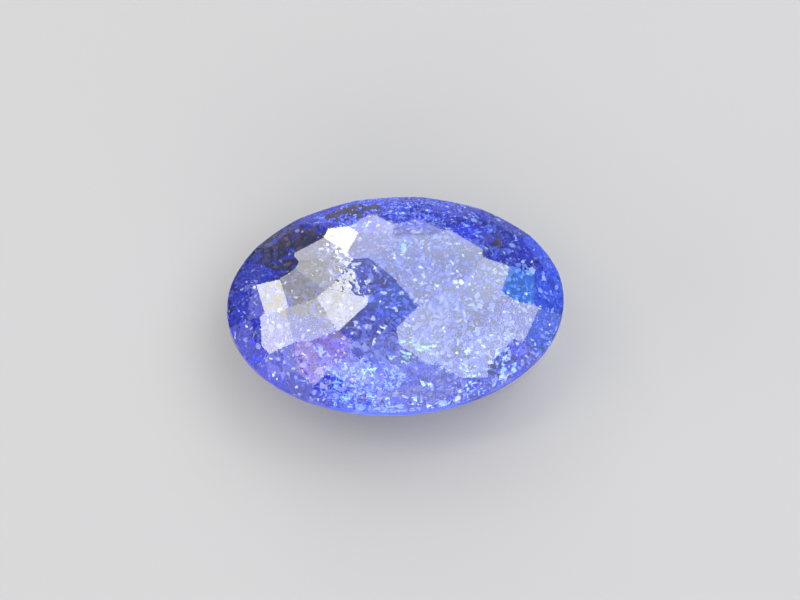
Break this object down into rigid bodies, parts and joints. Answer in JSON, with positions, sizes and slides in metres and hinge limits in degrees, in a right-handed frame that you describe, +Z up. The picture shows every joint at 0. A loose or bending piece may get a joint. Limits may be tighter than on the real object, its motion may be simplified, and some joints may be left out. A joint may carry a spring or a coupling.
{
  "type": "cut and polished oval tanzanite gemstone",
  "caption": "Loose oval gemstone of blue-violet tanzanite, with a domed many-faceted crown, thin girdle and faceted pavilion, resting on a small flat culet.",
  "frame": {"origin": "centre of the flat culet that the stone rests on, under the middle of its oval outline", "axes": "+X along the stone's long axis, +Y across it, +Z up through the middle of the crown"},
  "size_m": [0.01, 0.007, 0.0039],
  "materials": {
    "tanzanite": "polished, transparent blue-violet crystal with many small healed cracks and pale flecks inside"
  },
  "bodies": {
    "root": {"cut_tanzanite": "tanzanite"}
  },
  "joints": []
}
